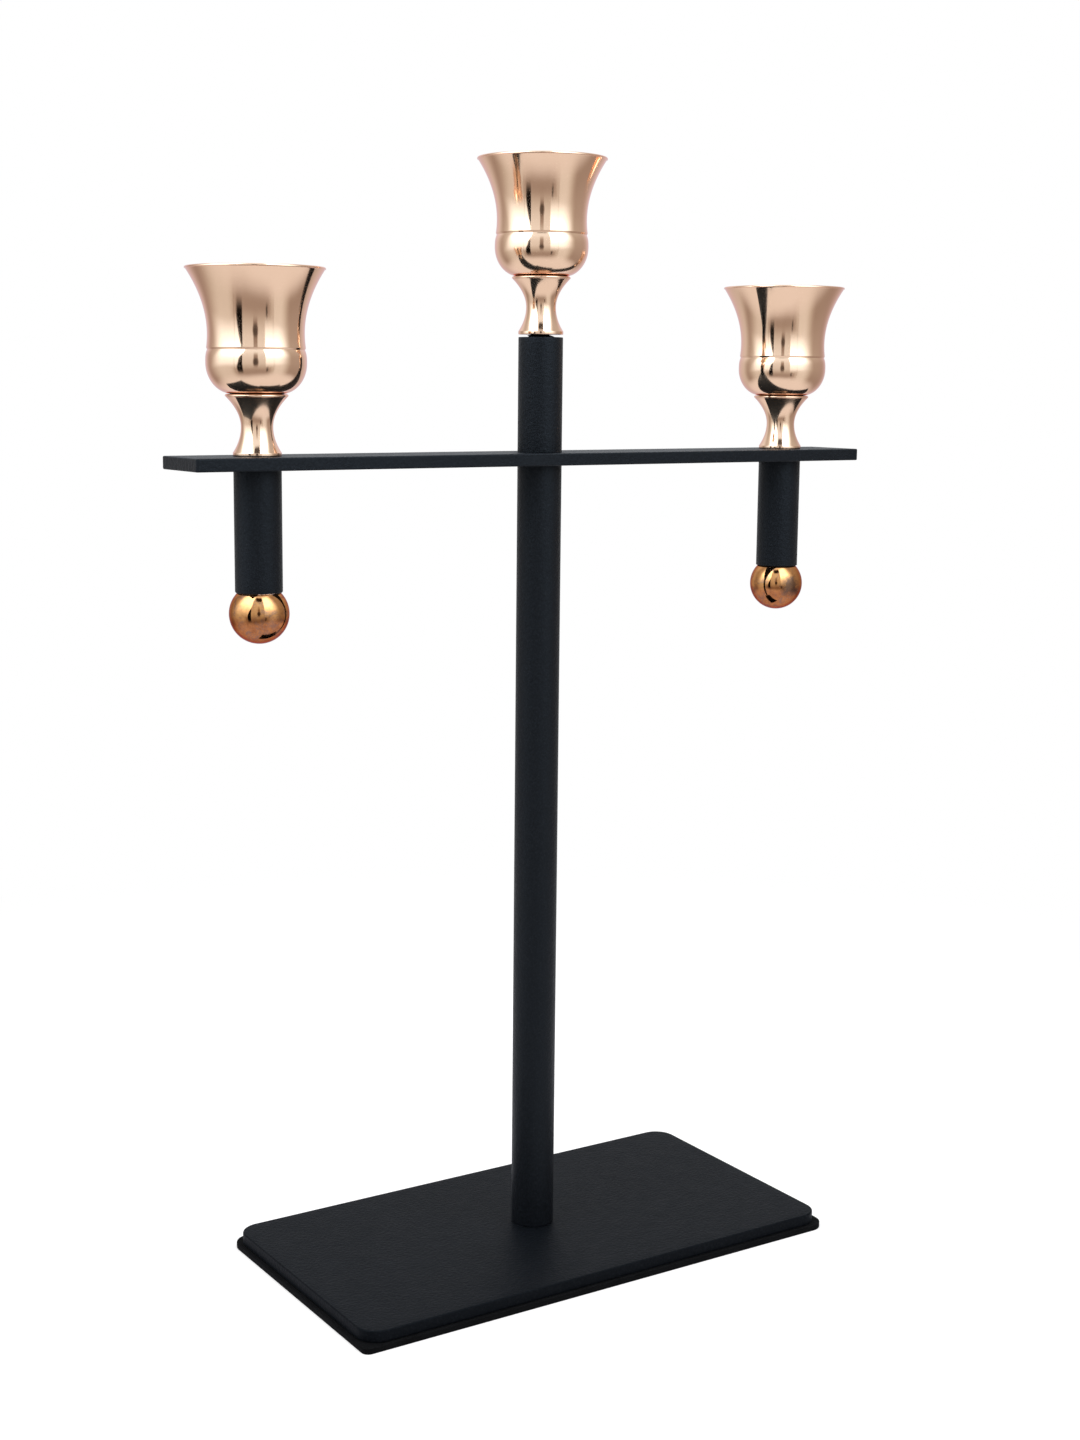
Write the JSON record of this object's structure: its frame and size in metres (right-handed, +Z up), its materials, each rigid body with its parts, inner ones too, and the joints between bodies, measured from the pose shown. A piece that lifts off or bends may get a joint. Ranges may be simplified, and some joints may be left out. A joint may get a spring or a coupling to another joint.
{
  "type": "candle holder",
  "caption": "Standing candle holder: flat base, round column, crossbar with hanging ball-tipped arms, and tulip cups for candles.",
  "frame": {"origin": "middle of the pad's underside, where the holder stands on the table", "axes": "+Z up along the column, +X along the crossbar and the base's long side, +Y towards the back"},
  "size_m": [0.35, 0.134, 0.5026],
  "materials": {
    "black_powder_coat": "fine-textured matt black powder coat on steel",
    "rose_gold": "mirror-polished rose-gold plating",
    "aged_brass": "polished copper-toned brass, tarnished in patches",
    "zinc_steel": "bright zinc plating",
    "pad": "soft black foam sheet"
  },
  "bodies": {
    "root": {"anti_slip_pad": "pad", "base_plate": "black_powder_coat", "base_screw": "zinc_steel", "column_tube": "black_powder_coat", "column_bottom_plug": "zinc_steel", "column_top_plug": "zinc_steel", "crossbar": "black_powder_coat", "crossbar_stud": "zinc_steel", "upper_tube": "black_powder_coat", "upper_bottom_plug": "zinc_steel", "upper_top_plug": "black_powder_coat", "left_arm_tube": "black_powder_coat", "left_arm_top_plug": "zinc_steel", "left_arm_bottom_plug": "zinc_steel", "left_ball_stud": "zinc_steel", "left_ball": "aged_brass", "right_arm_tube": "black_powder_coat", "right_arm_top_plug": "zinc_steel", "right_arm_bottom_plug": "zinc_steel", "right_ball_stud": "zinc_steel", "right_ball": "aged_brass", "left_cup_stud": "zinc_steel", "left_cup_stem": "rose_gold", "left_cup_shell": "rose_gold", "left_cup_washer": "zinc_steel", "left_cup_screw": "zinc_steel", "centre_cup_stud": "zinc_steel", "centre_cup_stem": "rose_gold", "centre_cup_shell": "rose_gold", "centre_cup_washer": "zinc_steel", "centre_cup_screw": "zinc_steel", "right_cup_stud": "zinc_steel", "right_cup_stem": "rose_gold", "right_cup_shell": "rose_gold", "right_cup_washer": "zinc_steel", "right_cup_screw": "zinc_steel"}
  },
  "joints": []
}
